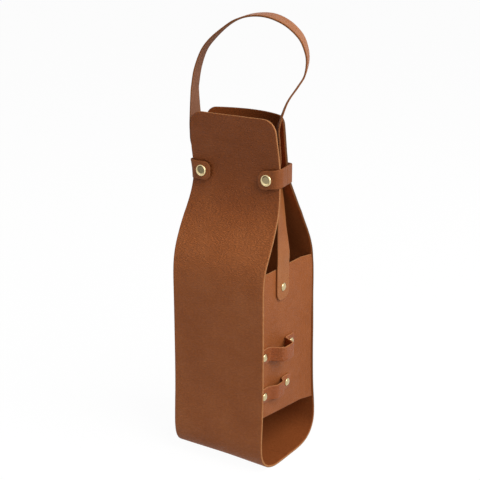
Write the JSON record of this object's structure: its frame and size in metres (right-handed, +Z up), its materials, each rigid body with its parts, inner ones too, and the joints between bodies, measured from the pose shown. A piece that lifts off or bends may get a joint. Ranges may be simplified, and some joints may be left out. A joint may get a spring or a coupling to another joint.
{
  "type": "leather bottle carrier",
  "caption": "Leather carrier for a wine bottle: a folded U-shaped sheet with side panels, neck flaps closed by snap straps, a carrying strap loop and opener loops on one side.",
  "frame": {"origin": "centre of the base's underside, on the floor", "axes": "+Z up along the carrier, -Y out of the front panel, +X towards the side with the opener loops"},
  "size_m": [0.1332, 0.1021, 0.4576],
  "materials": {
    "panel_leather": "brown pebbled leather with a dull sheen",
    "strap_leather": "brown leather with lighter cut edges",
    "brass_fittings": "pale gold plate, polished"
  },
  "bodies": {
    "carrier": {"body_sheet": "panel_leather", "handle_rivet_left_back": "brass_fittings", "handle_rivet_left_cap": "brass_fittings", "handle_rivet_right_back": "brass_fittings", "handle_rivet_right_cap": "brass_fittings", "handle_strand_left": "strap_leather", "handle_strand_right": "strap_leather", "loop_rivet_lower_front_back": "brass_fittings", "loop_rivet_lower_front_cap": "brass_fittings", "loop_rivet_lower_rear_back": "brass_fittings", "loop_rivet_lower_rear_cap": "brass_fittings", "loop_rivet_upper_front_back": "brass_fittings", "loop_rivet_upper_front_cap": "brass_fittings", "loop_rivet_upper_rear_back": "brass_fittings", "loop_rivet_upper_rear_cap": "brass_fittings", "opener_loop_lower": "strap_leather", "opener_loop_upper": "strap_leather", "side_panel_left": "panel_leather", "side_panel_right": "panel_leather"},
    "front_flap": {"front_flap": "panel_leather", "snap_post_left": "brass_fittings", "snap_post_right": "brass_fittings", "snap_stud_left": "brass_fittings", "snap_stud_right": "brass_fittings"},
    "back_flap": {"back_flap": "panel_leather", "strap_anchor_left": "strap_leather", "strap_anchor_right": "strap_leather", "strap_rivet_left_back": "brass_fittings", "strap_rivet_left_cap": "brass_fittings", "strap_rivet_right_back": "brass_fittings", "strap_rivet_right_cap": "brass_fittings"},
    "right_strap": {"neck_strap_right": "strap_leather"},
    "right_tab": {"strap_tab_right": "strap_leather", "snap_cap_right": "brass_fittings", "snap_socket_right": "brass_fittings"},
    "left_strap": {"neck_strap_left": "strap_leather"},
    "left_tab": {"strap_tab_left": "strap_leather", "snap_cap_left": "brass_fittings", "snap_socket_left": "brass_fittings"},
    "handle": {"handle_loop": "strap_leather"}
  },
  "joints": [
    {"name": "front_flap_open", "type": "hinge", "parent": "carrier", "child": "front_flap", "pos_m": [0, -0.0497, 0.2043], "axis": [1, 0, 0], "range_deg": [0, 10]},
    {"name": "back_flap_open", "type": "hinge", "parent": "carrier", "child": "back_flap", "pos_m": [0, 0.0497, 0.2043], "axis": [1, 0, 0], "range_deg": [-10, 0]},
    {"name": "right_strap_swing", "type": "hinge", "parent": "back_flap", "child": "right_strap", "pos_m": [0.05009, 0.01233, 0.301], "axis": [0, 0, 1], "range_deg": [0, 140]},
    {"name": "right_tab_fold", "type": "hinge", "parent": "right_strap", "child": "right_tab", "pos_m": [0.053, -0.015, 0.301], "axis": [0, 0, 1], "range_deg": [0, 120]},
    {"name": "left_strap_swing", "type": "hinge", "parent": "back_flap", "child": "left_strap", "pos_m": [-0.05009, 0.01233, 0.301], "axis": [0, 0, 1], "range_deg": [-140, 0]},
    {"name": "left_tab_fold", "type": "hinge", "parent": "left_strap", "child": "left_tab", "pos_m": [-0.053, -0.015, 0.301], "axis": [0, 0, 1], "range_deg": [-120, 0]},
    {"name": "handle_tilt", "type": "hinge", "parent": "carrier", "child": "handle", "pos_m": [0, -0.011, 0.376], "axis": [1, 0, 0], "range_deg": [-40, 40], "stiffness_Nm_per_rad": 0.07}
  ],
  "couplings": [
    {"joint": "back_flap_open", "follows": "front_flap_open", "ratio": -1},
    {"joint": "right_strap_swing", "follows": "front_flap_open", "ratio": 14},
    {"joint": "right_tab_fold", "follows": "front_flap_open", "ratio": 12},
    {"joint": "left_strap_swing", "follows": "front_flap_open", "ratio": -14},
    {"joint": "left_tab_fold", "follows": "front_flap_open", "ratio": -12}
  ]
}
